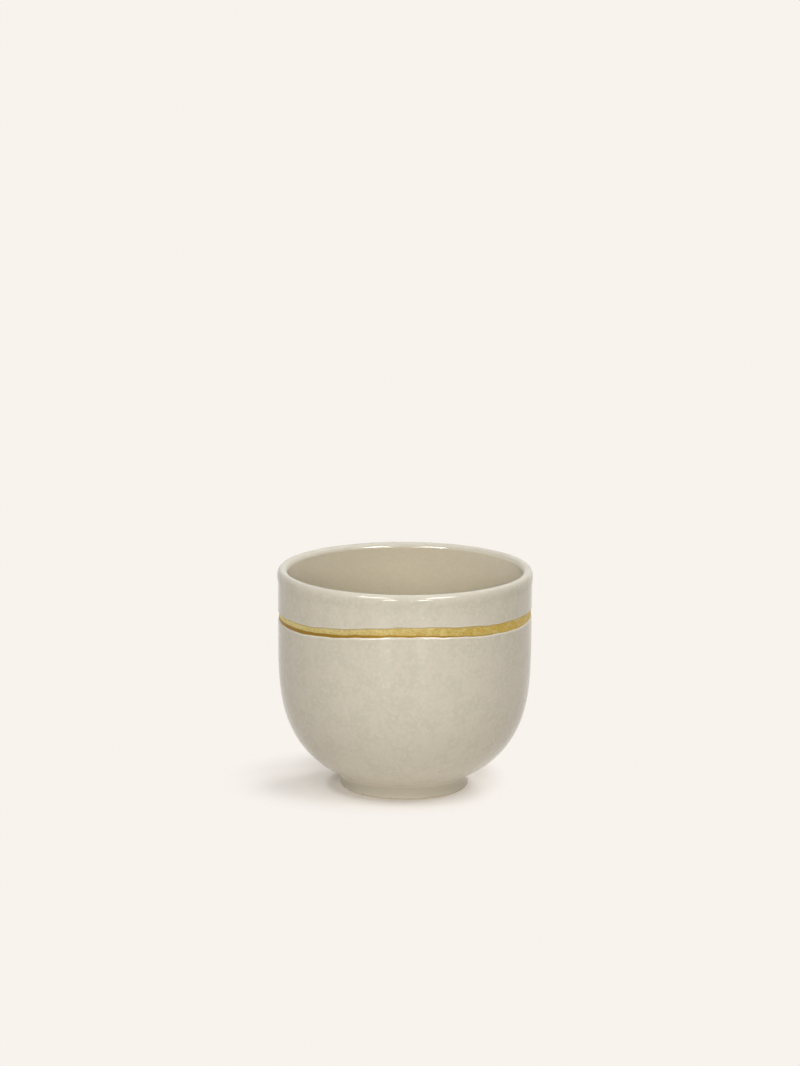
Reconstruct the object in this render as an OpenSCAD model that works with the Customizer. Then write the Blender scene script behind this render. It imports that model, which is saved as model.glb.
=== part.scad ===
// Cup without a handle for Arabic coffee: glazed stoneware with a gold band under the lip.
// The clay is one bowl and one foot ring. Two coats of glaze cover it and part round the
// gold band, which is laid by hand on the clay and so lies lower than the glaze beside it.
// Origin on the table at the middle of the foot ring, +Z up, +X to the right of the front.

/* [Cup] */
// Outside diameter of the lip at its widest
lip_d = 60; // [54:1:70]
// Height from the table to the crest of the lip
cup_h = 52.2; // [47:0.2:60]
// Thickness of the wall under the lip, glaze included
wall_t = 2.3; // [1.9:0.1:3]
// Length of the straight wall, from the crest down to where the bowl's curve starts
straight_h = 13.2; // [12.8:0.2:16]
// Thickness of the clay floor over the foot ring
floor_t = 3.4; // [2.6:0.2:4.6]

/* [Lip] */
// How far the lip stands out past the straight wall
lip_swell = 0.2; // [0:0.05:0.4]
// Height over which the wall swells out to the lip
swell_h = 2.5; // [1.5:0.1:3.2]
// How far the crest lies in from the lip's widest line
crest_in = 0.95; // [0.6:0.05:1.3]
// Height of the lip's round on the outside
lip_outer_h = 1.6; // [1:0.1:2.2]
// Height of the lip's round on the inside
lip_inner_h = 1.2; // [0.8:0.1:2]

/* [Bowl curve] */
// Fullness of the outside curve across, as a share of an ellipse's
outer_across_share = 0.97; // [0.8:0.01:1.1]
// Fullness of the outside curve downwards, as a share of an ellipse's
outer_down_share = 1.825; // [1.6:0.025:2.3]
// Fullness of the inside curve across, as a share of an ellipse's
inner_across_share = 1; // [0.9:0.02:1.1]
// Fullness of the inside curve downwards, as a share of an ellipse's
inner_down_share = 1.8; // [1.5:0.05:2.1]

/* [Foot] */
// Outside diameter of the foot ring where it meets the bowl
foot_d = 30.3; // [25:0.1:36]
// Height of the foot ring
foot_h = 3.3; // [2.5:0.1:4.5]
// Width of the foot ring where it meets the bowl
ring_w = 3.6; // [3:0.1:5]
// How far the outside of the ring draws in towards the table
ring_draw = 0.05; // [0:0.05:0.4]
// How far the inside of the ring slopes in towards the table
ring_slope = 0.4; // [0:0.05:0.6]
// Radius of the ring's edges on the table
ring_round = 0.25; // [0.15:0.05:0.6]

/* [Glaze] */
// Thickness of the glaze on the walls
glaze_t = 0.35; // [0.25:0.05:0.5]
// Thickness of the glaze on the crest, where it runs thin
crest_glaze_t = 0.22; // [0.14:0.02:0.34]
// Thickness of the glaze in the hollow of the foot
base_glaze_t = 0.3; // [0.2:0.05:0.4]
// Width of the glaze that pools in the creases over and inside the foot
pool_w = 0.8; // [0.5:0.1:1]
// Height of the bare clay between the ring's rounded edge and the glaze
bare_h = 0.1; // [0.1:0.05:0.4]
// Height over which the glaze rounds off above the bare clay
roll_h = 0.35; // [0.2:0.05:0.4]

/* [Gold band] */
// Distance from the crest down to the middle of the band at the front
band_drop = 8.65; // [7.6:0.05:9.2]
// Width of the band
band_w = 2.1; // [1.2:0.02:2.6]
// How far the band's sides hang below its front and back
band_arch = 1.8; // [0:0.1:2.4]
// How far the slant of the hand lifts the band's right side
band_lean = 0.55; // [0:0.05:0.7]
// How much the band widens to the right of its front, where the brush dwelt
band_dwell = 0.14; // [0:0.02:0.3]
// Height of the waver in the band's edges
waver_h = 0.06; // [0:0.02:0.12]
// Length of one waver
waver_l = 8.4; // [6:0.2:12]
// Thickness of the gold
gold_t = 0.12; // [0.06:0.02:0.2]

/* [Hidden] */
$fn = 180;

// Straight pieces that stand for each round stretch of an outline, and for the band's edges
curve_steps = 26;
round_steps = 9;
pool_steps = 6;
swell_steps = 6;
band_steps = 60;

// Power of a plain ellipse, which the fullness shares multiply
ellipse_power = 2;
// Share of a full turn between the wavers of the band's upper and lower edges
waver_phase_share = 0.36;
// A second, shorter and lower waver keeps the first from looking even
echo_length_share = 0.43;
echo_height_share = 0.5;
// The brush dwelt where its swing across the cup has gone this share of a full turn
dwell_turn_share = 0.42;
full_turn = 360;
half_turn = full_turn / 2;
quarter_turn = full_turn / 4;
// How far the cutting shapes run past what they cut
overrun = 2;

// Radii, from the outside in
lip_r = lip_d / 2;
wall_r = lip_r - lip_swell;
clay_r = wall_r - glaze_t;
crest_r = lip_r - crest_in;
bore_r = wall_r - wall_t;
clay_bore_r = bore_r + glaze_t;
foot_r = foot_d / 2;
foot_clay_r = foot_r - glaze_t;
ring_bore_r = foot_clay_r - ring_w;

// Heights, from the top down
lip_z = cup_h - lip_outer_h;
lip_inside_z = cup_h - lip_inner_h;
swell_z = lip_z - swell_h;
shoulder_z = cup_h - straight_h;
floor_z = foot_h + floor_t;
clay_top_z = cup_h - crest_glaze_t;
base_z = foot_h - base_glaze_t;
glaze_line_z = ring_round + bare_h;

// The outside curve has the depth that brings the clay to the foot ring's edge
clay_depth = (shoulder_z - foot_h) / curve_drop(foot_clay_r, clay_r);
glaze_depth = clay_depth + glaze_t;

// Share of the curve's depth that it lies below the shoulder where it is r wide
function curve_drop(r, wide) =
    pow(1 - pow(r / wide, ellipse_power * outer_across_share), 1 / (ellipse_power * outer_down_share));

// Curve of the bowl from its shoulder down to the given turn, where a turn of zero is the
// middle of the floor: the height follows a cosine and the radius closes a full ellipse
function bowl_curve(wide, depth, across_share, down_share, low_turn) = [
    for (i = [0:curve_steps])
        let (drop = cos(quarter_turn + (low_turn - quarter_turn) * i / curve_steps))
            let (left = 1 - pow(drop, ellipse_power * down_share))
                [wide * pow(left, 1 / (ellipse_power * across_share)), shoulder_z - depth * drop]
];

function outer_curve(wide, depth, low_r) =
    bowl_curve(wide, depth, outer_across_share, outer_down_share, acos(curve_drop(low_r, wide)));

function inner_curve(wide, floor_at) =
    bowl_curve(wide, shoulder_z - floor_at, inner_across_share, inner_down_share, 0);

// Round of an ellipse with its own width and height, between two turns
function round_of(middle, width, height, from, to) = [
    for (i = [0:round_steps])
        let (turn = from + (to - from) * i / round_steps)
            [middle[0] + width * cos(turn), middle[1] + height * sin(turn)]
];

// Lip of the cup: up the swell, over the outer round to the crest and down the inner round
function lip_outline(inside_r, outside_r, top) = concat(
    [
        for (i = [0:swell_steps - 1])
            let (rise = (1 - cos(half_turn * i / swell_steps)) / 2)
                [outside_r - lip_swell * (1 - rise), swell_z + swell_h * i / swell_steps]
    ],
    round_of([crest_r, lip_z], outside_r - crest_r, top - lip_z, 0, quarter_turn),
    round_of([crest_r, lip_inside_z], crest_r - inside_r, top - lip_inside_z, quarter_turn, half_turn)
);

// Pool of glaze in a crease: a parabola that leaves one face and lands on the next
function pool(start, corner, end) = [
    for (i = [0:pool_steps])
        let (t = i / pool_steps)
            start * pow(1 - t, 2) + corner * 2 * t * (1 - t) + end * pow(t, 2)
];

function reversed(points) = [for (i = [1:len(points)]) points[len(points) - i]];

// Radius of the foot ring's outside and inside at a height
function ring_side(top_r, z) = top_r - ring_draw * (foot_h - z) / (foot_h - ring_round);
function ring_inside(z) = ring_bore_r - ring_slope * (foot_h - z) / (foot_h - ring_round);

// Height of the band's middle line over the place x, measured from left to right: it hangs at
// the sides, slants a little, and is the same at the front and the back of the cup
function band_middle(x) = cup_h - band_drop - band_arch * (1 - cos(half_turn * x / wall_r)) / 2
    + band_lean * x / wall_r;

function band_half(x) = (band_w + band_dwell * sin(full_turn * dwell_turn_share * x / wall_r)) / 2;

function waver(x, phase) = waver_h * (sin(full_turn * x / waver_l + phase)
    + echo_height_share * sin(full_turn * x / (waver_l * echo_length_share) - phase));

// One edge of the band as a line across the cup: side is 1 for the upper edge, -1 for the lower
function band_edge(side) = [
    for (i = [0:band_steps])
        let (x = (wall_r + overrun) * (2 * i / band_steps - 1))
            [x, band_middle(x) + side * band_half(x) + waver(x, side * full_turn * waver_phase_share)]
];

// Everything that lies above a line across the cup, front to back
module above(edge) {
    across(concat(edge, [[wall_r + overrun, cup_h], [-wall_r - overrun, cup_h]]));
}

// Outline seen from the front, drawn out through the whole cup
module across(points) {
    rotate([quarter_turn, 0, 0])
        linear_extrude(height = lip_d + overrun, center = true)
            polygon(points);
}

// Ring of the straight wall, from the shoulder up to the swell
module collar(inside_r, outside_r) {
    rotate_extrude()
        polygon([
            [inside_r, shoulder_z],
            [outside_r, shoulder_z],
            [outside_r, swell_z],
            [inside_r, swell_z]
        ]);
}

// Thrown bowl: floor, wall and lip in one
module clay_bowl() {
    color("wheat")
        rotate_extrude()
            polygon(concat(
                [[0, foot_h]],
                reversed(outer_curve(clay_r, clay_depth, foot_clay_r)),
                lip_outline(clay_bore_r, lip_r - glaze_t, clay_top_z),
                inner_curve(clay_bore_r, floor_z)
            ));
}

// Turned ring that seats on the flat under the bowl
module foot_ring() {
    outer_middle = [ring_side(foot_clay_r, ring_round) - ring_round, ring_round];
    inner_middle = [ring_inside(ring_round) + ring_round, ring_round];
    color("burlywood")
        rotate_extrude()
            polygon(concat(
                [[ring_bore_r, foot_h], [foot_clay_r, foot_h]],
                round_of(outer_middle, ring_round, ring_round, 0, -quarter_turn),
                round_of(inner_middle, ring_round, ring_round, -quarter_turn, -half_turn)
            ));
}

// Coat poured inside and run over the lip, down to the band's upper edge
module liner_glaze() {
    color("gainsboro") {
        rotate_extrude()
            polygon(concat(
                lip_outline(bore_r, lip_r, cup_h),
                inner_curve(bore_r, floor_z + glaze_t),
                reversed(inner_curve(clay_bore_r, floor_z)),
                reversed(lip_outline(clay_bore_r, lip_r - glaze_t, clay_top_z))
            ));
        intersection() {
            collar(clay_r, wall_r);
            above(band_edge(1));
        }
    }
}

// Coat on the outside, from the band's lower edge down to just above the table
module body_glaze() {
    crease = [foot_r, shoulder_z - glaze_depth * curve_drop(foot_r, wall_r)];
    pool_top = foot_r + pool_w;
    pool_low = crease[1] - pool_w;
    roll_top = glaze_line_z + roll_h;
    line_r = ring_side(foot_clay_r, glaze_line_z);
    color("silver")
        difference() {
            union() {
                collar(clay_r, wall_r);
                rotate_extrude()
                    polygon(concat(
                        outer_curve(wall_r, glaze_depth, pool_top),
                        pool(
                            [pool_top, shoulder_z - glaze_depth * curve_drop(pool_top, wall_r)],
                            crease,
                            [ring_side(foot_r, pool_low), pool_low]
                        ),
                        round_of([line_r, roll_top], ring_side(foot_r, roll_top) - line_r, roll_h, 0, -quarter_turn),
                        [[foot_clay_r, foot_h]],
                        reversed(outer_curve(clay_r, clay_depth, foot_clay_r))
                    ));
            }
            above(band_edge(-1));
        }
}

// Thin coat in the hollow inside the foot ring, pooled against the ring
module base_glaze() {
    pool_low = base_z - pool_w;
    color("darkgray")
        rotate_extrude()
            polygon(concat(
                [[0, base_z]],
                pool([ring_inside(base_z) - pool_w, base_z], [ring_inside(base_z), base_z], [ring_inside(pool_low), pool_low]),
                [[ring_bore_r, foot_h], [0, foot_h]]
            ));
}

// Gold laid on the clay, in the gap where the two coats part
module gold_band() {
    color("gold")
        intersection() {
            collar(clay_r, clay_r + gold_t);
            across(concat(band_edge(-1), reversed(band_edge(1))));
        }
}

clay_bowl();
foot_ring();
liner_glaze();
body_glaze();
base_glaze();
gold_band();
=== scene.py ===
"""Looks of a handleless stoneware cup for Arabic coffee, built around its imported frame.

The cup is clay under two coats of glaze, which part round a band of gold laid on the clay. Each
coat is a closed shell worked out as a surface of revolution whose edge at the band wavers, with
the glaze rounded and slightly beaded there as it melts and draws back from the gold.
"""

import logging
import math
from dataclasses import dataclass
from enum import Enum

import bpy
import numpy as np
from mathutils import Matrix, Vector


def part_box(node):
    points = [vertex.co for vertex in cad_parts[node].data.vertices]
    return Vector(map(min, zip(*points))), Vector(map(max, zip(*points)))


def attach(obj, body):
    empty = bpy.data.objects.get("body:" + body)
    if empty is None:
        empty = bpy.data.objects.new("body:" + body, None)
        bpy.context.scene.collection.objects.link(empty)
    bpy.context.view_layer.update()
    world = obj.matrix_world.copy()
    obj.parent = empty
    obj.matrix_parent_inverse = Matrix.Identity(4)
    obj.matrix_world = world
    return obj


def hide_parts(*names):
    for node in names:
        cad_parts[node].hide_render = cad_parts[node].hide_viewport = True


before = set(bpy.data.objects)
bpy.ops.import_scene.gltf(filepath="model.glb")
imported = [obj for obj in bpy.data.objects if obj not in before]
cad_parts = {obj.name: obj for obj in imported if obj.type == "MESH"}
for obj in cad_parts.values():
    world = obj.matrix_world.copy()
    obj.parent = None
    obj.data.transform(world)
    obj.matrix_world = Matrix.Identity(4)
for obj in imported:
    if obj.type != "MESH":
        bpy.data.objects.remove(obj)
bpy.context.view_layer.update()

MM = 0.001
SHARP_ANGLE = math.radians(50)
LOG = logging.getLogger("cup")


# Numbers and arrays


def linear_rgb(hex_colour: str) -> tuple[float, float, float, float]:
    """Turn an sRGB colour into the linear colour that a shader takes.

    Args:
        hex_colour: Six hex digits after a hash sign, as #C8BEAC.

    Returns:
        Linear red, green and blue and an alpha of one.
    """
    parts = [int(hex_colour[i : i + 2], 16) / 255 for i in (1, 3, 5)]
    red, green, blue = (c / 12.92 if c <= 0.04045 else ((c + 0.055) / 1.055) ** 2.4 for c in parts)
    return red, green, blue, 1.0


def smooth_step(x: np.ndarray, low: float, high: float) -> np.ndarray:
    """Rise from zero at low to one at high along the cubic 3t squared less 2t cubed."""
    t = np.clip((x - low) / (high - low), 0.0, 1.0)
    return t * t * (3 - 2 * t)


def rise_about(x: np.ndarray, place: float, span: tuple[float, float]) -> np.ndarray:
    """Rise from zero to one between two distances from a place."""
    return smooth_step(x, place + span[0], place + span[1])


@dataclass(frozen=True)
class Ripple:
    """Soft unevenness of a surface: plane waves in seeded directions, summed over its points.

    Each wave is a sine along its own direction, so the sum closes round the cup by itself.
    """

    shortest: float
    longest: float
    waves: int
    seed: int

    def at(self, x: np.ndarray, y: np.ndarray, z: np.ndarray) -> np.ndarray:
        """Sum the waves.

        Args:
            x: Places of the points along X, in metres.
            y: Places along Y.
            z: Places along Z.

        Returns:
            A value for each point, mostly between -1 and 1.
        """
        rng = np.random.default_rng(self.seed)
        lengths = rng.uniform(self.shortest, self.longest, self.waves)
        headings = rng.normal(size=(self.waves, 3))
        headings /= np.linalg.norm(headings, axis=1)[:, None]
        phases = rng.uniform(0, 2 * math.pi, self.waves)
        total = np.zeros(np.broadcast(x, y, z).shape)
        for length, heading, phase in zip(lengths, headings, phases):
            along = x * heading[0] + y * heading[1] + z * heading[2]
            total += np.sin(2 * math.pi * along / length + phase)
        return total / math.sqrt(self.waves)


# Shape of the cup


@dataclass(frozen=True)
class CupForm:
    """Sizes of the cup in metres, and the outlines that follow from them."""

    lip_r: float
    cup_h: float
    wall_t: float = 2.3 * MM
    straight_h: float = 13.2 * MM
    floor_t: float = 3.4 * MM
    lip_swell: float = 0.2 * MM
    swell_h: float = 2.5 * MM
    crest_in: float = 0.95 * MM
    lip_outer_h: float = 1.6 * MM
    lip_inner_h: float = 1.2 * MM
    outer_across: float = 1.94
    outer_down: float = 3.65
    inner_across: float = 2.0
    inner_down: float = 3.6
    foot_r: float = 15.15 * MM
    foot_h: float = 3.3 * MM
    ring_w: float = 3.6 * MM
    ring_draw: float = 0.05 * MM
    ring_slope: float = 0.4 * MM
    ring_round: float = 0.25 * MM
    glaze_t: float = 0.35 * MM
    crest_glaze_t: float = 0.22 * MM
    base_glaze_t: float = 0.3 * MM
    pool_w: float = 0.8 * MM
    bare_h: float = 0.1 * MM
    roll_h: float = 0.35 * MM
    band_drop: float = 8.65 * MM
    band_w: float = 2.1 * MM
    band_arch: float = 1.8 * MM
    band_lean: float = 0.55 * MM
    band_dwell: float = 0.14 * MM
    dwell_turn: float = 0.42
    waver_h: float = 0.06 * MM
    waver_l: float = 8.4 * MM
    waver_phase: float = 0.36
    echo_length: float = 0.43
    echo_height: float = 0.5
    gold_t: float = 0.12 * MM

    @property
    def wall_r(self) -> float:
        """Outside radius of the straight wall."""
        return self.lip_r - self.lip_swell

    @property
    def clay_r(self) -> float:
        """Radius of the clay under the outside glaze."""
        return self.wall_r - self.glaze_t

    @property
    def bore_r(self) -> float:
        """Radius of the drinking space under the lip."""
        return self.wall_r - self.wall_t

    @property
    def foot_clay_r(self) -> float:
        """Outside radius of the foot ring's clay."""
        return self.foot_r - self.glaze_t

    @property
    def shoulder_z(self) -> float:
        """Height at which the straight wall turns into the bowl's curve."""
        return self.cup_h - self.straight_h

    @property
    def swell_z(self) -> float:
        """Height at which the wall starts to swell out to the lip."""
        return self.cup_h - self.lip_outer_h - self.swell_h

    @property
    def floor_z(self) -> float:
        """Height of the clay floor inside."""
        return self.foot_h + self.floor_t

    @property
    def clay_depth(self) -> float:
        """Depth of the clay's outside curve below the shoulder, if it ran on to the axis."""
        return (self.shoulder_z - self.foot_h) / self.drop_at(self.foot_clay_r, self.clay_r)

    @property
    def glaze_depth(self) -> float:
        """Depth of the glazed outside curve below the shoulder, if it ran on to the axis."""
        return self.clay_depth + self.glaze_t

    def drop_at(self, r: float, wide: float) -> float:
        """Share of its depth that the outside curve lies below the shoulder where it is r wide."""
        return (1 - (r / wide) ** self.outer_across) ** (1 / self.outer_down)

    def bowl_curve(
        self, wide: float, depth: float, across: float, down: float, low: float, steps: int
    ) -> np.ndarray:
        """Curve of the bowl from the shoulder down.

        The height follows a cosine of the turn, and the radius to the power across and the drop
        to the power down add up to one, as on an ellipse with fuller powers.

        Args:
            wide: Radius at the shoulder.
            depth: Depth below the shoulder at a turn of zero, on the axis.
            across: Power of the radius.
            down: Power of the drop.
            low: Turn at the curve's lower end, in radians.
            steps: Number of stretches.

        Returns:
            An array of radius and height, from the shoulder down.
        """
        drop = np.cos(np.linspace(math.pi / 2, low, steps + 1))
        r = wide * np.clip(1 - drop**down, 0, None) ** (1 / across)
        return np.column_stack([r, self.shoulder_z - depth * drop])

    def outer_curve(self, wide: float, depth: float, low_r: float, steps: int) -> np.ndarray:
        """Outside curve from the shoulder down to the radius low_r."""
        low = math.acos(self.drop_at(low_r, wide))
        return self.bowl_curve(wide, depth, self.outer_across, self.outer_down, low, steps)

    def inner_curve(self, wide: float, floor_at: float, steps: int) -> np.ndarray:
        """Inside curve from the shoulder down to the middle of the floor."""
        depth = self.shoulder_z - floor_at
        return self.bowl_curve(wide, depth, self.inner_across, self.inner_down, 0.0, steps)

    def lip(self, inside_r: float, outside_r: float, top: float, steps: int) -> np.ndarray:
        """Lip from the swell up over the crest and down to the inside wall.

        The swell follows half a cosine, and each round is a quarter of an ellipse.

        Args:
            inside_r: Radius of the wall inside.
            outside_r: Radius of the lip's widest line.
            top: Height of the crest.
            steps: Number of stretches in each round.

        Returns:
            An array of radius and height.
        """
        t = np.linspace(0, 1, steps // 2 + 1)[:-1]
        fall = (1 + np.cos(math.pi * t)) / 2
        swell = np.column_stack([outside_r - self.lip_swell * fall, self.swell_z + self.swell_h * t])
        crest_r = self.lip_r - self.crest_in
        turn = np.linspace(0, math.pi, 2 * steps + 1)
        outside = turn <= math.pi / 2
        half_w = np.where(outside, outside_r - crest_r, crest_r - inside_r)
        spring = self.cup_h - np.where(outside, self.lip_outer_h, self.lip_inner_h)
        rounds = np.column_stack([crest_r + half_w * np.cos(turn), spring + (top - spring) * np.sin(turn)])
        return np.concatenate([swell, rounds])

    def ring_side(self, top_r: float, z: float) -> float:
        """Radius of the foot ring's outside at a height."""
        return top_r - self.ring_draw * (self.foot_h - z) / (self.foot_h - self.ring_round)

    def ring_inside(self, z: float) -> float:
        """Radius of the foot ring's inside at a height."""
        top_r = self.foot_clay_r - self.ring_w
        return top_r - self.ring_slope * (self.foot_h - z) / (self.foot_h - self.ring_round)

    def band_edge(self, phi: np.ndarray, side: int) -> np.ndarray:
        """Height of one edge of the gold band round the cup.

        The band's middle line hangs at the sides along half a cosine and slants with x, its width
        swings with a sine of x, and two sines make its edges waver.

        Args:
            phi: Angles round the cup from its front, positive to the right, in radians.
            side: 1 for the upper edge and -1 for the lower.

        Returns:
            The height at each angle.
        """
        share = np.sin(phi)
        x = self.wall_r * share
        middle = self.cup_h - self.band_drop - self.band_arch * (1 - np.cos(math.pi * share)) / 2
        middle = middle + self.band_lean * share
        half = (self.band_w + self.band_dwell * np.sin(2 * math.pi * self.dwell_turn * share)) / 2
        phase = 2 * math.pi * self.waver_phase * side
        echo_l = self.waver_l * self.echo_length
        waver = np.sin(2 * math.pi * x / self.waver_l + phase)
        waver = waver + self.echo_height * np.sin(2 * math.pi * x / echo_l - phase)
        return middle + side * half + self.waver_h * waver


def parabola(start: np.ndarray, corner: np.ndarray, end: np.ndarray, steps: int) -> np.ndarray:
    """Glaze pooled in a crease: the parabola that leaves start for corner and lands on end from it."""
    t = np.linspace(0, 1, steps + 1)[:, None]
    return start * (1 - t) ** 2 + corner * 2 * t * (1 - t) + end * t**2


# Meshes


@dataclass(frozen=True)
class Turned:
    """A closed surface turned round the cup's axis, as grids with a row for each outline point.

    The rows run so that the faces point outwards. Poles are the heights at which the first and
    the last row close on the axis. Without them, the last row joins the first.
    """

    r: np.ndarray
    z: np.ndarray
    traits: dict[str, np.ndarray]
    poles: tuple[float, float] | None = None

    def build(self, name: str) -> bpy.types.Object:
        """Make the mesh and its object.

        Args:
            name: Name of the object.

        Returns:
            The object, at the origin, with a float attribute for each trait.
        """
        rows, columns = self.r.shape
        phi = around(columns)
        points = np.stack([self.r * np.sin(phi), -self.r * np.cos(phi), self.z], axis=-1).reshape(-1, 3)
        index = np.arange(rows * columns).reshape(rows, columns)
        near, far = (index[:-1], index[1:]) if self.poles else (index, np.roll(index, -1, axis=0))
        quads = np.stack([near, np.roll(near, -1, axis=1), np.roll(far, -1, axis=1), far], axis=-1)
        faces = quads.reshape(-1, 4).tolist()
        values = {key: np.broadcast_to(grid, self.r.shape).reshape(-1) for key, grid in self.traits.items()}
        if self.poles:
            first, last = index[0], index[-1]
            pole = np.full_like(first, len(points))
            faces += np.column_stack([pole, np.roll(first, -1), first]).tolist()
            faces += np.column_stack([pole + 1, last, np.roll(last, -1)]).tolist()
            points = np.concatenate([points, [[0, 0, self.poles[0]], [0, 0, self.poles[1]]]])
            values = {key: np.append(v, [v[0], v[-1]]) for key, v in values.items()}
        mesh = bpy.data.meshes.new(name)
        mesh.from_pydata(points, [], faces)
        for key, value in values.items():
            mesh.attributes.new(key, "FLOAT", "POINT").data.foreach_set("value", value.astype(np.float32))
        mesh.shade_smooth()
        mesh.set_sharp_from_angle(angle=SHARP_ANGLE)
        mesh.update()
        piece = bpy.data.objects.new(name, mesh)
        bpy.context.scene.collection.objects.link(piece)
        return piece


def around(columns: int) -> np.ndarray:
    """Angles round the cup from its front, one for each column."""
    return np.arange(columns) * 2 * math.pi / columns


def turned_rows(outline: np.ndarray, columns: int) -> tuple[np.ndarray, np.ndarray]:
    """Repeat an outline's radii and heights round the cup, as two grids."""
    return np.repeat(outline[:, :1], columns, axis=1), np.repeat(outline[:, 1:], columns, axis=1)


# Finishes


def add_node(
    tree: bpy.types.NodeTree, kind: str, settings: dict[str, object], inputs: dict[object, object]
) -> bpy.types.NodeOutputs:
    """Add a node with its settings, values and links.

    Args:
        tree: Node tree that gets the node.
        kind: Node type without its leading ShaderNode, as Mix.
        settings: Properties of the node itself.
        inputs: A value or an output socket for each input, by name or number.

    Returns:
        The node's outputs.
    """
    node = tree.nodes.new("ShaderNode" + kind)
    for key, value in settings.items():
        setattr(node, key, value)
    for key, value in inputs.items():
        if isinstance(value, bpy.types.NodeSocket):
            tree.links.new(value, node.inputs[key])
        else:
            node.inputs[key].default_value = value
    return node.outputs


def new_material(name: str) -> tuple[bpy.types.Material, bpy.types.NodeTree]:
    """Start a material.

    Args:
        name: Name of the material.

    Returns:
        The material and its node tree, which is empty.
    """
    material = bpy.data.materials.new(name)
    material.use_nodes = True
    material.node_tree.nodes.clear()
    return material, material.node_tree


def between(span: tuple[float, float]) -> dict[str, float]:
    """Give the two ends of a span as the inputs of a Map Range node."""
    return {"From Min": span[0], "From Max": span[1]}


# A Mix node of colours takes its share at input 0 and its colours at inputs 6 and 7, the one for a
# share of nothing first, and gives the mix at output 2.
SHARE, UNDER, OVER, MIXED = 0, 6, 7, 2
COLOURS = {"data_type": "RGBA"}
DARKER = COLOURS | {"blend_type": "MULTIPLY"}
SOFT = {"interpolation_type": "SMOOTHSTEP"}


@dataclass(frozen=True)
class StonewareGlaze:
    """Glossy stoneware glaze over grey-beige clay, dipped and fired.

    The eye sees a deep smooth gloss over soft patches where the coat is richer or leaner. It is
    painted darker and browner inside the cup as shade there, and darker on the foot, mostly as
    painted shade under the bowl and partly as glaze pooled in the crease. It is painted paler
    inside the cup's sides near the lip and in a line over the crease, as painted light, and is
    paler where it runs thin over an edge and over the lip's crest, where that is partly painted
    light. The coats' own attributes say where that is. Patches are some 4 mm wide, and a rosier
    blush in them is 1 mm wide. Real flecks are about 0.2 mm wide, too fine to show, so they are
    drawn 0.6 mm wide.
    """

    body: str = "#C8C1B1"
    rosy: str = "#CCC3B4"
    cool: str = "#C2BDAC"
    # Paler where the coat runs thin over an edge; over the lip's crest it is partly painted light.
    thin: str = "#D2CCBD"
    # Painted shade: the darker, browner glaze inside the cup.
    inside_shade: str = "#C3B8A0"
    # Darker glaze on the foot: mostly painted shade under the bowl, partly glaze pooled in the crease.
    pooled: str = "#B3AC9A"
    # Painted light: the paler glaze inside the sides near the lip and over the crease.
    painted_pale: str = "#EFE7D5"
    fleck: str = "#FBFBFA"
    patch_w: float = 4.0 * MM
    patch_span: tuple[float, float] = (0.35, 0.6)
    blush_w: float = 1.0 * MM
    blush_span: tuple[float, float] = (0.45, 0.7)
    fleck_w: float = 0.6 * MM
    fleck_span: tuple[float, float] = (0.35, 0.65)
    patch_detail: float = 3.0
    fleck_detail: float = 1.0
    bump_h: float = 0.1 * MM
    bump_strength: float = 0.2
    roughness: float = 0.09
    ior: float = 1.5

    def make(self) -> bpy.types.Material:
        """Make the glaze.

        Returns:
            The material.
        """
        material, tree = new_material("stoneware_glaze")
        place = add_node(tree, "TexCoord", {}, {})["Object"]
        soft_noise = {"Vector": place, "Detail": self.patch_detail}
        fine_noise = {"Vector": place, "Detail": self.fleck_detail}
        patch = add_node(tree, "TexNoise", {}, soft_noise | {"Scale": 1 / self.patch_w})[0]
        blush = add_node(tree, "TexNoise", {}, soft_noise | {"Scale": 1 / self.blush_w})[0]
        fleck = add_node(tree, "TexNoise", {}, fine_noise | {"Scale": 1 / self.fleck_w})[0]
        full = add_node(tree, "MapRange", SOFT, {"Value": patch} | between(self.patch_span))[0]
        rosy = add_node(tree, "MapRange", SOFT, {"Value": blush} | between(self.blush_span))[0]
        dark = add_node(tree, "MapRange", SOFT, {"Value": fleck} | between(self.fleck_span))[0]
        # The coats' attributes carry painted shade inside the cup and on the foot, painted light inside the
        # sides near the lip and over the crease, and thinness with painted light over the crest.
        inside = add_node(tree, "Attribute", {"attribute_name": "inside_shade_share"}, {})["Fac"]
        foot = add_node(tree, "Attribute", {"attribute_name": "foot_shade_share"}, {})["Fac"]
        sides = add_node(tree, "Attribute", {"attribute_name": "painted_pale_share"}, {})["Fac"]
        edge = add_node(tree, "Attribute", {"attribute_name": "thinness_and_crest_light"}, {})["Fac"]
        colour = linear_rgb(self.cool)
        for settings, share, over in (
            (COLOURS, full, self.body),
            (COLOURS, rosy, self.rosy),
            (COLOURS, inside, self.inside_shade),
            (COLOURS, foot, self.pooled),
            (COLOURS, sides, self.painted_pale),
            (DARKER, dark, self.fleck),
            (COLOURS, edge, self.thin),
        ):
            inputs = {SHARE: share, UNDER: colour, OVER: linear_rgb(over)}
            colour = add_node(tree, "Mix", settings, inputs)[MIXED]
        relief = {"Height": patch, "Strength": self.bump_strength, "Distance": self.bump_h}
        bump = add_node(tree, "Bump", {}, relief)[0]
        surface = {"Base Color": colour, "Roughness": self.roughness, "IOR": self.ior, "Normal": bump}
        shader = add_node(tree, "BsdfPrincipled", {}, surface)[0]
        add_node(tree, "OutputMaterial", {}, {"Surface": shader})
        return material


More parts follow.
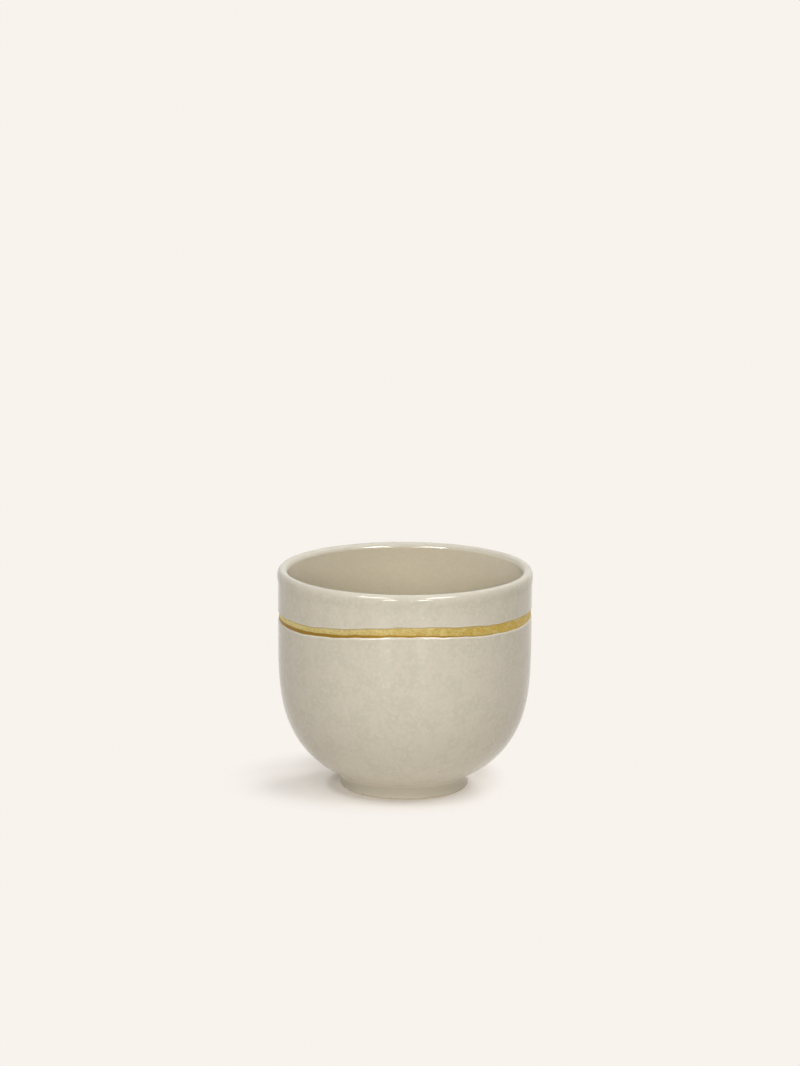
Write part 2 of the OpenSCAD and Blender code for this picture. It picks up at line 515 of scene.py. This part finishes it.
@dataclass(frozen=True)
class GoldLustre:
    """Gold lustre painted by hand on the clay and fired.

    The eye sees a soft mustard metal with dabs of the brush. Across the band it is painted paler
    on the left, darker in the middle and deeper on the right, as painted shade and reflection. A
    darker line along its upper edge is painted shade under the overhanging glaze, and a darker
    ochre line runs along its lower edge, reaching higher on the left. Dabs are 1.3 mm wide and
    drawn out along the band. Real grain is about 0.1 mm wide, too fine to show, so it is drawn
    0.4 mm wide.
    """

    # Painted shade and reflection across the band: pale on the left, darker in the middle, deeper on the
    # right.
    thin: str = "#C9BA80"
    full: str = "#B4A166"
    deep: str = "#C0A75A"
    dab: str = "#D6CB9C"
    worn: str = "#E6DFC8"
    # Painted shade under the overhanging upper glaze: a darker line along the band's upper edge.
    edge: str = "#A3966F"
    # A darker ochre line along the band's lower edge.
    pooled: str = "#94742E"
    middle_shade_span: tuple[float, float] = (-21 * MM, 0.0)
    right_shade_span: tuple[float, float] = (0.0, 20 * MM)
    dab_w: float = 1.3 * MM
    dab_streak: tuple[float, float, float] = (0.5, 0.5, 1.6)
    dab_span: tuple[float, float] = (0.42, 0.75)
    dab_share: float = 0.4
    grain_w: float = 0.4 * MM
    worn_span: tuple[float, float] = (0.4, 0.7)
    noise_detail: float = 2.0
    overhang_shade_span: tuple[float, float] = (0.86, 0.98)
    overhang_shade_share: float = 0.7
    low_line_span: tuple[float, float] = (-24 * MM, 24 * MM)
    low_line_reach: float = 0.42
    low_line_waver: float = -0.25
    low_line_fade: tuple[float, float] = (-0.05, -0.2)
    bump_h: float = 0.03 * MM
    bump_strength: float = 0.2
    roughness: float = 0.5

    def make(self) -> bpy.types.Material:
        """Make the gold.

        The darker ochre line along the lower edge reaches up a share of the band that falls off from
        the left to the right and wavers with the dabs. The colours from left to right and the darker
        upper edge are painted shade and reflection.

        Returns:
            The material.
        """
        material, tree = new_material("gold_lustre")
        place = add_node(tree, "TexCoord", {}, {})["Object"]
        along = add_node(tree, "SeparateXYZ", {}, {0: place})[0]
        height = add_node(tree, "Attribute", {"attribute_name": "height_in_band"}, {})["Fac"]
        drawn = add_node(tree, "VectorMath", {"operation": "MULTIPLY"}, {0: place, 1: self.dab_streak})[0]
        dabs = {"Vector": drawn, "Scale": 1 / self.dab_w, "Detail": self.noise_detail}
        dab = add_node(tree, "TexNoise", {}, dabs)[0]
        grains = {"Vector": place, "Scale": 1 / self.grain_w, "Detail": self.noise_detail}
        grain = add_node(tree, "TexNoise", {}, grains)[0]
        # Painted shade and reflection across the band, along X.
        full = add_node(tree, "MapRange", SOFT, {"Value": along} | between(self.middle_shade_span))[0]
        deep = add_node(tree, "MapRange", SOFT, {"Value": along} | between(self.right_shade_span))[0]
        ends = between(self.dab_span) | {"To Max": self.dab_share}
        pale = add_node(tree, "MapRange", SOFT, {"Value": dab} | ends)[0]
        worn = add_node(tree, "MapRange", SOFT, {"Value": grain} | between(self.worn_span))[0]
        # Painted shade under the overhanging glaze, along the upper edge.
        ends = between(self.overhang_shade_span) | {"To Max": self.overhang_shade_share}
        overhang_shade = add_node(tree, "MapRange", SOFT, {"Value": height} | ends)[0]
        # The darker ochre line along the lower edge.
        ends = between(self.low_line_span) | {"To Min": self.low_line_reach, "To Max": 0.0}
        reach = add_node(tree, "MapRange", {}, {"Value": along} | ends)[0]
        above = add_node(tree, "Math", {"operation": "SUBTRACT"}, {0: height, 1: reach})[0]
        waver = {0: dab, 1: self.low_line_waver, 2: above}
        above = add_node(tree, "Math", {"operation": "MULTIPLY_ADD"}, waver)[0]
        pooled = add_node(tree, "MapRange", SOFT, {"Value": above} | between(self.low_line_fade))[0]
        colour = linear_rgb(self.thin)
        for settings, share, over in (
            (COLOURS, full, self.full),
            (COLOURS, deep, self.deep),
            (COLOURS, pale, self.dab),
            (DARKER, worn, self.worn),
            (COLOURS, overhang_shade, self.edge),
            (COLOURS, pooled, self.pooled),
        ):
            inputs = {SHARE: share, UNDER: colour, OVER: linear_rgb(over)}
            colour = add_node(tree, "Mix", settings, inputs)[MIXED]
        relief = {"Height": grain, "Strength": self.bump_strength, "Distance": self.bump_h}
        bump = add_node(tree, "Bump", {}, relief)[0]
        surface = {"Base Color": colour, "Metallic": 1.0, "Roughness": self.roughness, "Normal": bump}
        shader = add_node(tree, "BsdfPrincipled", {}, surface)[0]
        add_node(tree, "OutputMaterial", {}, {"Surface": shader})
        return material


@dataclass(frozen=True)
class BareClay:
    """Fired stoneware clay left bare where the cup stands.

    The eye sees a dry, fine-grained beige with small darker specks. Real grain and specks are
    0.1 to 0.3 mm wide, too fine to show, so they are drawn 0.5 and 0.9 mm wide.
    """

    body: str = "#B6AB95"
    speck: str = "#887A62"
    grain_w: float = 0.5 * MM
    grain_detail: float = 5.0
    speck_w: float = 0.9 * MM
    speck_detail: float = 1.0
    speck_span: tuple[float, float] = (0.62, 0.72)
    bump_h: float = 0.05 * MM
    bump_strength: float = 0.5
    roughness: float = 0.85

    def make(self) -> bpy.types.Material:
        """Make the clay.

        Returns:
            The material.
        """
        material, tree = new_material("bare_stoneware_clay")
        place = add_node(tree, "TexCoord", {}, {})["Object"]
        grains = {"Vector": place, "Scale": 1 / self.grain_w, "Detail": self.grain_detail}
        grain = add_node(tree, "TexNoise", {}, grains)[0]
        specks = {"Vector": place, "Scale": 1 / self.speck_w, "Detail": self.speck_detail}
        speck = add_node(tree, "TexNoise", {}, specks)[0]
        dark = add_node(tree, "MapRange", SOFT, {"Value": speck} | between(self.speck_span))[0]
        inputs = {SHARE: dark, UNDER: linear_rgb(self.body), OVER: linear_rgb(self.speck)}
        colour = add_node(tree, "Mix", COLOURS, inputs)[MIXED]
        relief = {"Height": grain, "Strength": self.bump_strength, "Distance": self.bump_h}
        bump = add_node(tree, "Bump", {}, relief)[0]
        surface = {"Base Color": colour, "Roughness": self.roughness, "Normal": bump}
        shader = add_node(tree, "BsdfPrincipled", {}, surface)[0]
        add_node(tree, "OutputMaterial", {}, {"Surface": shader})
        return material


# Pieces


class Slot(Enum):
    """Material slots of the record."""

    CLAY = "stoneware_clay"
    GLAZE = "stoneware_glaze"
    GOLD = "gold_lustre"


def dress(piece: bpy.types.Object, material: bpy.types.Material, slot: Slot, *nodes: str) -> None:
    """Give a piece its material, its body and the solids that it stands for.

    Args:
        piece: Object to dress.
        material: Its one material.
        slot: Not used.
        nodes: Names of the solids that it replaces.
    """
    piece.data.materials.clear()
    piece.data.materials.append(material)
    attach(piece, "root")
    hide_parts(*nodes)
    LOG.info("%s: %d faces", piece.name, len(piece.data.polygons))


@dataclass(frozen=True)
class GlazeCoats:
    """The three coats of glaze: the liner over the lip, the body's coat and the foot's hollow.

    The coats carry the attributes that the glaze's material reads. Thinness is full where a coat
    runs out at an edge and over the crest of the lip, where it also carries painted light.
    Painted shade lies evenly inside the cup, and on the foot under the bowl, where glaze also
    pooled in the crease. Painted light grows towards the cup's sides, inside near the lip and in
    a line over the foot. A span gives distances from the place that its method names.
    """

    form: CupForm
    columns: int = 480
    edge_h: float = 1.0 * MM
    edge_power: float = 2.2
    hang_w: float = 0.3 * MM
    shoulder_w: float = 0.75 * MM
    bead_h: float = 0.03 * MM
    bead_share: float = 0.7
    bead_w: float = 0.22 * MM
    thin_w: float = 0.5 * MM
    # Over the crest, thinness also carries painted light on the lip.
    crest_inner_w: float = 2.4 * MM
    crest_outer_w: float = 1.0 * MM
    crest_span: tuple[float, float] = (-1.2 * MM, 0.0)
    # Painted shade inside the cup.
    inside_shade_strength: float = 0.8
    bore_span: tuple[float, float] = (-0.05 * MM, 0.3 * MM)
    # Painted light inside the sides near the lip.
    lip_light_left: float = 0.7
    lip_light_right: float = 1.0
    lip_light_power: float = 3.5
    lip_light_span: tuple[float, float] = (-10 * MM, -3 * MM)
    crease_w: float = 1.5 * MM
    # Painted light in a band over the crease, strongest at the sides.
    crease_rise: float = 1.05 * MM
    crease_power: int = 6
    crease_front: float = 0.1
    crease_sides: float = 0.8
    crease_reach: float = 0.85 * MM
    # Painted shade on the foot under the bowl, where glaze also pooled in the crease.
    foot_shade_span: tuple[float, float] = (-0.4 * MM, 0.9 * MM)
    line_span: tuple[float, float] = (0.0, 0.5 * MM)
    uneven: float = 0.02 * MM
    ripple: Ripple = Ripple(4 * MM, 11 * MM, 20, 5)
    edge_steps: int = 16
    collar_steps: int = 8
    wall_steps: int = 6
    lip_steps: int = 18
    inner_steps: int = 56
    outer_steps: int = 70
    crease_steps: int = 14
    roll_steps: int = 8
    flat_steps: int = 23
    hollow_steps: int = 12
    hidden_lip_steps: int = 8
    hidden_inner_steps: int = 30
    hidden_outer_steps: int = 36

    def parted_edge(self, side: int) -> tuple[np.ndarray, np.ndarray, np.ndarray]:
        """Edge of a coat at the gold band.

        The glaze leaves the clay along a quarter ellipse, which is longer on the shoulder of the
        lower coat than where the upper coat hangs over the band. It swells a little past its own
        thickness, by a bell curve, where it drew back from the gold in the fire. The rows crowd
        towards the band by a power.

        Args:
            side: 1 for the coat above the band and -1 for the coat below it.

        Returns:
            Grids of radius and height, row by row away from the band, and of thinness.
        """
        form = self.form
        share = np.linspace(0, 1, self.edge_steps + 1)[:, None]
        away = self.edge_h * share**self.edge_power
        round_w = self.hang_w if side > 0 else self.shoulder_w
        rise = np.sqrt(1 - (1 - np.clip(away / round_w, 0, 1)) ** 2)
        bead = self.bead_h * np.exp(-(((away - self.bead_share * round_w) / self.bead_w) ** 2)) * rise
        r = form.clay_r + form.glaze_t * rise + bead
        z = form.band_edge(around(self.columns), side)[None, :] + side * away
        thin = 1 - smooth_step(away, 0, self.thin_w)
        return np.repeat(r, self.columns, axis=1), z, np.repeat(thin, self.columns, axis=1)

    def made_uneven(self, r: np.ndarray, z: np.ndarray) -> np.ndarray:
        """Let a coat dip a little in soft patches, never past its full thickness.

        Args:
            r: Radii of the smooth coat.
            z: Heights of its points.

        Returns:
            The radii of the uneven coat.
        """
        phi = around(self.columns)
        dip = (1 + np.clip(self.ripple.at(r * np.sin(phi), -r * np.cos(phi), z), -1, 1)) / 2
        return r - self.uneven * dip

    def crest_thinness_and_light(self, r: np.ndarray, z: np.ndarray) -> np.ndarray:
        """Thinness and painted light over the lip: a bell across its crest that fades out below it.

        Args:
            r: Radii of the points.
            z: Their heights.

        Returns:
            The thinness and painted light at each point.
        """
        away = r - (self.form.lip_r - self.form.crest_in)
        width = np.where(away < 0, self.crest_inner_w, self.crest_outer_w)
        return np.exp(-((away / width) ** 2)) * rise_about(z, self.form.cup_h, self.crest_span)

    def lip_painted_light(self, z: np.ndarray) -> np.ndarray:
        """Painted light below the lip, by a power of the sine of the angle round the cup.

        Args:
            z: Heights of the points, a column for each angle.

        Returns:
            The painted light at each point.
        """
        across = np.sin(around(self.columns))
        share = np.where(across > 0, self.lip_light_right, self.lip_light_left)
        near_lip = rise_about(z, self.form.cup_h, self.lip_light_span)
        return share * np.abs(across) ** self.lip_light_power * near_lip

    def crease_painted_light(self, above: np.ndarray) -> np.ndarray:
        """Painted light over the foot: a bell curve of height, strongest at the cup's sides.

        Its middle drops towards the sides by a power of the sine of the angle round the cup.

        Args:
            above: Heights of the points above the crease, a column for each angle.

        Returns:
            The painted light at each point.
        """
        across = np.abs(np.sin(around(self.columns)))
        middle = self.crease_rise * (1 - across**self.crease_power)
        share = self.crease_front + (self.crease_sides - self.crease_front) * across
        return share * np.exp(-(((above - middle) / self.crease_reach) ** 2))

    def liner(self) -> Turned:
        """Coat inside the cup and over its lip, down to the band's upper edge.

        Returns:
            The coat, closed on the axis over and under the floor.
        """
        form = self.form
        inside = form.inner_curve(form.bore_r, form.floor_z + form.glaze_t, self.inner_steps)[:-1]
        lip = form.lip(form.bore_r, form.lip_r, form.cup_h, self.lip_steps)
        top_r, top_z = turned_rows(np.concatenate([lip, inside])[::-1], self.columns)
        edge_r, edge_z, edge_thin = self.parted_edge(1)
        share = np.linspace(0, 1, self.collar_steps + 1)[1:-1, None]
        between_z = form.swell_z + (edge_z[-1:] - form.swell_z) * share
        between_r = form.wall_r + (edge_r[-1:] - form.wall_r) * share
        z = np.concatenate([top_z, between_z, edge_z[::-1]])
        r = self.made_uneven(np.concatenate([top_r, between_r, edge_r[::-1]]), z)
        bore_r, wide_r = form.bore_r + form.glaze_t, form.lip_r - form.glaze_t
        under = np.concatenate([
            form.lip(bore_r, wide_r, form.cup_h - form.crest_glaze_t, self.hidden_lip_steps),
            form.inner_curve(bore_r, form.floor_z, self.hidden_inner_steps)[:-1],
        ])
        under_r, under_z = turned_rows(under, self.columns)
        # Thinness, with painted light over the crest.
        crest = self.crest_thinness_and_light(top_r, top_z)
        thin = np.concatenate([crest, np.zeros_like(between_z), edge_thin[::-1], np.zeros_like(under_z)])
        r, z = np.concatenate([r, under_r]), np.concatenate([z, under_z])
        # Painted light inside the sides near the lip, and painted shade inside the cup.
        within = 1 - rise_about(r, form.bore_r, self.bore_span)
        painted_pale = within * self.lip_painted_light(z)
        traits = {"thinness_and_crest_light": thin, "inside_shade_share": self.inside_shade_strength * within, "painted_pale_share": painted_pale}
        return Turned(r, z, traits, (form.floor_z + form.glaze_t, form.floor_z))

    def low_outline(self, crease_z: float, line_z: float) -> np.ndarray:
        """Outline of the bowl's curve, the crease over the foot, and the foot's rolled low edge.

        Args:
            crease_z: Height at which the bowl's curve would meet the foot if no glaze pooled there.
            line_z: Height of the line at which the coat ends.

        Returns:
            An array of radius and height, from the shoulder down.
        """
        form = self.form
        crease_r = form.foot_r + self.crease_w
        curve = form.outer_curve(form.wall_r, form.glaze_depth, crease_r, self.outer_steps)
        pool_low = crease_z - self.crease_w
        landing = np.array([form.ring_side(form.foot_r, pool_low), pool_low])
        crease = parabola(curve[-1], np.array([form.foot_r, crease_z]), landing, self.crease_steps)[1:]
        roll_top = line_z + form.roll_h
        line_r = form.ring_side(form.foot_clay_r, line_z)
        turn = np.linspace(0, math.pi / 2, self.roll_steps + 1)
        wide = form.ring_side(form.foot_r, roll_top) - line_r
        roll = np.column_stack([line_r + wide * np.cos(turn), roll_top - form.roll_h * np.sin(turn)])
        return np.concatenate([curve, crease, roll])

    def body(self) -> Turned:
        """Coat on the outside, from the band's lower edge to the bare clay of the foot.

        Returns:
            The coat, closed through its hidden side.
        """
        form = self.form
        crease_z = form.shoulder_z - form.glaze_depth * form.drop_at(form.foot_r, form.wall_r)
        line_z = form.ring_round + form.bare_h
        edge_r, edge_z, edge_thin = self.parted_edge(-1)
        share = np.linspace(0, 1, self.wall_steps + 1)[1:-1, None]
        between_z = edge_z[-1:] + (form.shoulder_z - edge_z[-1:]) * share
        between_r = edge_r[-1:] + (form.wall_r - edge_r[-1:]) * share
        low_r, low_z = turned_rows(self.low_outline(crease_z, line_z), self.columns)
        z = np.concatenate([edge_z, between_z, low_z])
        r = self.made_uneven(np.concatenate([edge_r, between_r, low_r]), z)
        under = form.outer_curve(form.clay_r, form.clay_depth, form.foot_clay_r, self.hidden_outer_steps)
        seat = np.array([[form.foot_clay_r, form.foot_h]])
        under_r, under_z = turned_rows(np.concatenate([seat, under[::-1][1:]]), self.columns)
        low_thin = 1 - rise_about(low_z, line_z, self.line_span)
        thin = np.concatenate([edge_thin, np.zeros_like(between_z), low_thin, np.zeros_like(under_z)])
        r, z = np.concatenate([r, under_r])[::-1], np.concatenate([z, under_z])[::-1]
        # Painted shade on the foot under the bowl, where glaze also pooled in the crease, and painted light
        # over the crease.
        pooled = 1 - rise_about(z, crease_z, self.foot_shade_span)
        painted_pale = self.crease_painted_light(z - crease_z)
        return Turned(r, z, {"thinness_and_crest_light": thin[::-1], "foot_shade_share": pooled, "painted_pale_share": painted_pale})

    def base(self) -> Turned:
        """Coat in the hollow of the foot, pooled against the ring.

        Returns:
            The coat, closed on the axis.
        """
        form = self.form
        base_z = form.foot_h - form.base_glaze_t
        pool_low = base_z - form.pool_w
        flat_r = np.linspace(0, form.ring_inside(base_z) - form.pool_w, self.flat_steps + 1)[1:]
        flat = np.column_stack([flat_r, np.full_like(flat_r, base_z)])
        corner = np.array([form.ring_inside(base_z), base_z])
        landing = np.array([form.ring_inside(pool_low), pool_low])
        crease = parabola(flat[-1], corner, landing, self.hollow_steps)[1:]
        seat = np.array([[form.ring_inside(form.foot_h), form.foot_h]])
        r, z = turned_rows(np.concatenate([flat, crease, seat]), self.columns)
        return Turned(r, z, {"thinness_and_crest_light": np.zeros_like(r)}, (base_z, form.foot_h))

    def build(self, glaze: bpy.types.Material) -> None:
        """Build and dress the coats.

        Args:
            glaze: Their material.
        """
        dress(self.liner().build("liner_coat"), glaze, Slot.GLAZE, "liner_glaze")
        dress(self.body().build("body_coat"), glaze, Slot.GLAZE, "body_glaze")
        dress(self.base().build("base_coat"), glaze, Slot.GLAZE, "base_glaze")


@dataclass(frozen=True)
class GoldBand:
    """The gold band on the clay, in the gap where the coats part."""

    form: CupForm
    columns: int = 960
    tuck: float = 0.05 * MM
    rows: int = 12

    def surface(self) -> Turned:
        """Band of even thickness, tucked a little under the glaze at its edges.

        Returns:
            The closed band, with its height as a share from its lower to its upper edge.
        """
        form = self.form
        phi = around(self.columns)
        low = form.band_edge(phi, -1) - self.tuck
        high = form.band_edge(phi, 1) + self.tuck
        share = np.linspace(0, 1, self.rows + 1)[:, None]
        z = np.concatenate([low + (high - low) * share, [high, low]])
        outside = np.full((self.rows + 1, self.columns), form.clay_r + form.gold_t)
        r = np.concatenate([outside, np.full((2, self.columns), form.clay_r)])
        return Turned(r, z, {"height_in_band": np.concatenate([share, [[1], [0]]])})

    def build(self, gold: bpy.types.Material) -> None:
        """Build and dress the band."""
        dress(self.surface().build("gold_stripe"), gold, Slot.GOLD, "gold_band")


@dataclass(frozen=True)
class FootRing:
    """The turned clay ring that the cup stands on."""

    form: CupForm
    columns: int = 360
    round_steps: int = 8

    def surface(self) -> Turned:
        """Ring with edges rounded by quarter circles on the table.

        Returns:
            The closed ring.
        """
        form = self.form
        low = form.ring_round
        turn = np.linspace(0, math.pi / 2, self.round_steps + 1)
        outer_r = form.ring_side(form.foot_clay_r, low) - low
        outer = np.column_stack([outer_r + low * np.cos(turn), low - low * np.sin(turn)])
        inner_r = form.ring_inside(low) + low
        inner = np.column_stack([inner_r - low * np.sin(turn), low - low * np.cos(turn)])
        top = np.array([[form.foot_clay_r - form.ring_w, form.foot_h], [form.foot_clay_r, form.foot_h]])
        r, z = turned_rows(np.concatenate([top, outer, inner])[::-1], self.columns)
        return Turned(r, z, {})

    def build(self, clay: bpy.types.Material) -> None:
        """Build and dress the ring."""
        dress(self.surface().build("standing_ring"), clay, Slot.CLAY, "foot_ring")


# Studio


class Seen(Enum):
    """How a lamp shows on the cup: only mirrored in its gloss, or only as soft light on it."""

    IN_GLOSS = "gloss"
    IN_SHADE = "shade"


@dataclass(frozen=True)
class Lamp:
    """A soft box that faces a place on the cup.

    Its heading from that place is an azimuth from the camera's side, positive to the right, and an
    elevation, in degrees. Its distance and its width and height are in metres, its power is in
    watts, and its light leaves it within the angle spread, in degrees.
    """

    name: str
    heading: tuple[float, float]
    distance: float
    size: tuple[float, float]
    watts: float
    seen: Seen
    target: tuple[float, float, float] = (0.0, 0.0, 30 * MM)
    spread: float = 180.0

    def hang(self) -> None:
        """Hang the soft box in the scene."""
        data = bpy.data.lights.new(self.name, "AREA")
        data.shape = "RECTANGLE"
        data.size, data.size_y = self.size
        data.energy = self.watts
        data.spread = math.radians(self.spread)
        item = bpy.data.objects.new(self.name, data)
        azimuth, elevation = (math.radians(angle) for angle in self.heading)
        level = math.cos(elevation)
        away = Vector((math.sin(azimuth) * level, -math.cos(azimuth) * level, math.sin(elevation)))
        item.visible_glossy = self.seen is Seen.IN_GLOSS
        item.visible_diffuse = self.seen is Seen.IN_SHADE
        item.visible_camera = False
        item.location = Vector(self.target) + away * self.distance
        item.rotation_euler = (-away).to_track_quat("-Z", "Y").to_euler()
        bpy.context.scene.collection.objects.link(item)


# Places on the back lip that the two nearest lamps face.
LIP_LEFT = (-6.6 * MM, 26.6 * MM, 51.6 * MM)
LIP_RIGHT = (6.3 * MM, 26.7 * MM, 51.6 * MM)


@dataclass(frozen=True)
class Studio:
    """Pale floor, soft light and the photograph's camera.

    A span gives the distances at which a change in the floor's looks starts and ends. The
    shadow's two stretches make its oval short to the right and long to the left.
    """

    backdrop: str = "#F8F3ED"
    table: str = "#B0A99F"
    camera_place: tuple[float, float, float] = (-1.26 * MM, -1000 * MM, 272.9 * MM)
    camera_pitch: float = 11.99
    camera_roll: float = 0.286
    lens_px: float = 4371.0
    picture_px: float = 1066.0
    sensor_mm: float = 36.0
    clip_start: float = 0.01
    floor_reach: float = 6.0
    near_glow: float = 0.45
    far_glow: float = 0.15
    glow_span: tuple[float, float] = (16 * MM, 50 * MM)
    shadow_centre: tuple[float, float, float] = (0.7 * MM, 3.2 * MM, 0.0)
    shadow_right: tuple[float, float, float] = (1.34, 1.0, 1.0)
    shadow_left: tuple[float, float, float] = (0.73, 1.0, 1.0)
    shadow_span: tuple[float, float] = (34 * MM, 21 * MM)
    shadow_share: float = 0.66
    contact_centre: tuple[float, float, float] = (-1.2 * MM, 0.2 * MM, 0.0)
    contact_span: tuple[float, float] = (22 * MM, 15.5 * MM)
    contact_share: float = 0.95
    world_light: float = 0.0
    lamps: tuple[Lamp, ...] = (
        # Slivers of light on the front lip and on the glaze below the gold
        Lamp("strip_low_left", (-13.5, 10), 1.2, (0.27, 0.14), 1.9, Seen.IN_GLOSS),
        Lamp("strip_low_right", (17, 12), 1.2, (0.23, 0.14), 1.7, Seen.IN_GLOSS),
        Lamp("strip_high_left", (-31, 36), 1.2, (0.52, 0.2), 6.3, Seen.IN_GLOSS),
        Lamp("strip_high_right", (35, 36), 1.2, (0.5, 0.2), 6.0, Seen.IN_GLOSS),
        # Slivers on the back lip
        Lamp("rim_left", (34, 38), 0.076, (0.025, 0.013), 0.0045, Seen.IN_GLOSS, LIP_LEFT, 60.0),
        Lamp("rim_right", (-34, 38), 0.076, (0.018, 0.013), 0.0039, Seen.IN_GLOSS, LIP_RIGHT, 60.0),
        # Soft upright bands on the wall
        Lamp("window_left", (-15.5, -7.7), 0.12, (0.022, 0.026), 0.0015, Seen.IN_GLOSS),
        Lamp("window_right", (13.5, -7.7), 0.12, (0.011, 0.026), 0.00075, Seen.IN_GLOSS),
        # Soft light on the whole cup
        Lamp("front", (-3, 17), 1.2, (0.45, 0.36), 8.9, Seen.IN_SHADE),
        Lamp("front_high_left", (-30, 60), 1.2, (0.5, 0.36), 4.0, Seen.IN_SHADE),
        Lamp("front_high_right", (28, 60), 1.2, (0.5, 0.36), 3.7, Seen.IN_SHADE),
        Lamp("side_left", (-110, 38), 1.2, (0.36, 0.36), 0.6, Seen.IN_SHADE),
        Lamp("side_right", (110, 34), 1.2, (0.36, 0.36), 1.6, Seen.IN_SHADE),
        Lamp("back_right", (150, 38), 1.2, (0.36, 0.36), 6.5, Seen.IN_SHADE),
    )

    def camera(self) -> None:
        """Stand the camera where the photograph was taken from."""
        data = bpy.data.cameras.new("camera")
        data.sensor_width = self.sensor_mm
        data.lens = self.lens_px * self.sensor_mm / self.picture_px
        data.clip_start = self.clip_start
        item = bpy.data.objects.new("camera", data)
        item.location = self.camera_place
        tilt = Matrix.Rotation(math.radians(90 - self.camera_pitch), 3, "X")
        roll = Matrix.Rotation(math.radians(self.camera_roll), 3, "Z")
        item.rotation_euler = (tilt @ roll).to_euler()
        bpy.context.scene.collection.objects.link(item)
        bpy.context.scene.camera = item

    def background_rays(self, tree: bpy.types.NodeTree) -> bpy.types.NodeSocket:
        """Tell the rays that look at the background, straight or in a reflection, from the rest.

        Args:
            tree: Node tree that gets the nodes.

        Returns:
            A socket that is one for such a ray and zero for any other.
        """
        rays = add_node(tree, "LightPath", {}, {})
        largest = {"operation": "MAXIMUM"}
        seen = add_node(tree, "Math", largest, {0: rays["Is Camera Ray"], 1: rays["Is Glossy Ray"]})[0]
        return add_node(tree, "Math", largest, {0: seen, 1: rays["Is Transmission Ray"]})[0]

    def floor(self) -> None:
        """Lay the pale floor.

        To the camera and in reflections it has the backdrop's own colour, and near the cup it is
        mixed with a floor that takes light, so that it keeps the cup's shadow. The share of that
        floor is the larger of an oval and of a round patch close to the foot. For the soft light
        it is a table with a glow of its own that lifts the cup's underside and fades outwards.
        """
        mesh = bpy.data.meshes.new("floor")
        reach = self.floor_reach
        corners = [(-reach, -reach, 0), (reach, -reach, 0), (reach, reach, 0), (-reach, reach, 0)]
        mesh.from_pydata(corners, [], [(0, 1, 2, 3)])
        item = bpy.data.objects.new("floor", mesh)
        bpy.context.scene.collection.objects.link(item)
        material, tree = new_material("studio_floor")
        pale = linear_rgb(self.backdrop)
        lit = add_node(tree, "BsdfDiffuse", {}, {"Color": pale})[0]
        flat = add_node(tree, "Emission", {}, {"Color": pale, "Strength": 1.0})[0]
        place = add_node(tree, "TexCoord", {}, {})["Object"]
        away = add_node(tree, "VectorMath", {"operation": "SUBTRACT"}, {0: place, 1: self.shadow_centre})[0]
        right = add_node(tree, "VectorMath", {"operation": "MULTIPLY"}, {0: away, 1: self.shadow_right})[0]
        left = add_node(tree, "VectorMath", {"operation": "MULTIPLY"}, {0: away, 1: self.shadow_left})[0]
        oval = add_node(tree, "VectorMath", {"operation": "MAXIMUM"}, {0: right, 1: left})[0]
        oval = add_node(tree, "VectorMath", {"operation": "LENGTH"}, {0: oval})["Value"]
        ends = between(self.shadow_span) | {"To Max": self.shadow_share}
        shadow = add_node(tree, "MapRange", SOFT, {"Value": oval} | ends)[0]
        apart = {0: place, 1: self.contact_centre}
        apart = add_node(tree, "VectorMath", {"operation": "DISTANCE"}, apart)["Value"]
        ends = between(self.contact_span) | {"To Max": self.contact_share}
        contact = add_node(tree, "MapRange", SOFT, {"Value": apart} | ends)[0]
        share = add_node(tree, "Math", {"operation": "MAXIMUM"}, {0: shadow, 1: contact})[0]
        shown = add_node(tree, "MixShader", {}, {0: share, 1: flat, 2: lit})[0]
        table = add_node(tree, "BsdfDiffuse", {}, {"Color": linear_rgb(self.table)})[0]
        ends = between(self.glow_span) | {"To Min": self.near_glow, "To Max": self.far_glow}
        strength = add_node(tree, "MapRange", SOFT, {"Value": apart} | ends)[0]
        glow = add_node(tree, "Emission", {}, {"Color": pale, "Strength": strength})[0]
        bounced = add_node(tree, "AddShader", {}, {0: table, 1: glow})[0]
        mixed = add_node(tree, "MixShader", {}, {0: self.background_rays(tree), 1: bounced, 2: shown})[0]
        add_node(tree, "OutputMaterial", {}, {"Surface": mixed})
        mesh.materials.append(material)

    def world(self) -> None:
        """Show the backdrop's own colour to the camera and in reflections, and leave the cup unlit."""
        world = bpy.data.worlds.new("studio")
        bpy.context.scene.world = world
        world.use_nodes = True
        tree = world.node_tree
        tree.nodes.clear()
        light = add_node(tree, "Background", {}, {"Color": (1, 1, 1, 1), "Strength": self.world_light})[0]
        pale = {"Color": linear_rgb(self.backdrop), "Strength": 1.0}
        shown = add_node(tree, "Background", {}, pale)[0]
        mixed = add_node(tree, "MixShader", {}, {0: self.background_rays(tree), 1: light, 2: shown})[0]
        add_node(tree, "OutputWorld", {}, {"Surface": mixed})

    def build(self) -> None:
        """Build the whole studio."""
        self.camera()
        self.floor()
        self.world()
        for lamp in self.lamps:
            lamp.hang()
        bpy.context.scene.view_settings.view_transform = "Standard"


def main() -> None:
    """Build the cup and its studio, and report the pieces."""
    logging.basicConfig(level=logging.INFO, format="%(name)s: %(message)s")
    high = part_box("liner_glaze")[1]
    form = CupForm(lip_r=high.x, cup_h=high.z)
    glaze = StonewareGlaze().make()
    gold = GoldLustre().make()
    clay = BareClay().make()
    GlazeCoats(form).build(glaze)
    GoldBand(form).build(gold)
    FootRing(form).build(clay)
    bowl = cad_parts["clay_bowl"]
    bowl.data.materials.clear()
    bowl.data.materials.append(clay)
    LOG.info("clay_bowl: kept as packed")
    Studio().build()


if __name__ == "__main__":
    main()
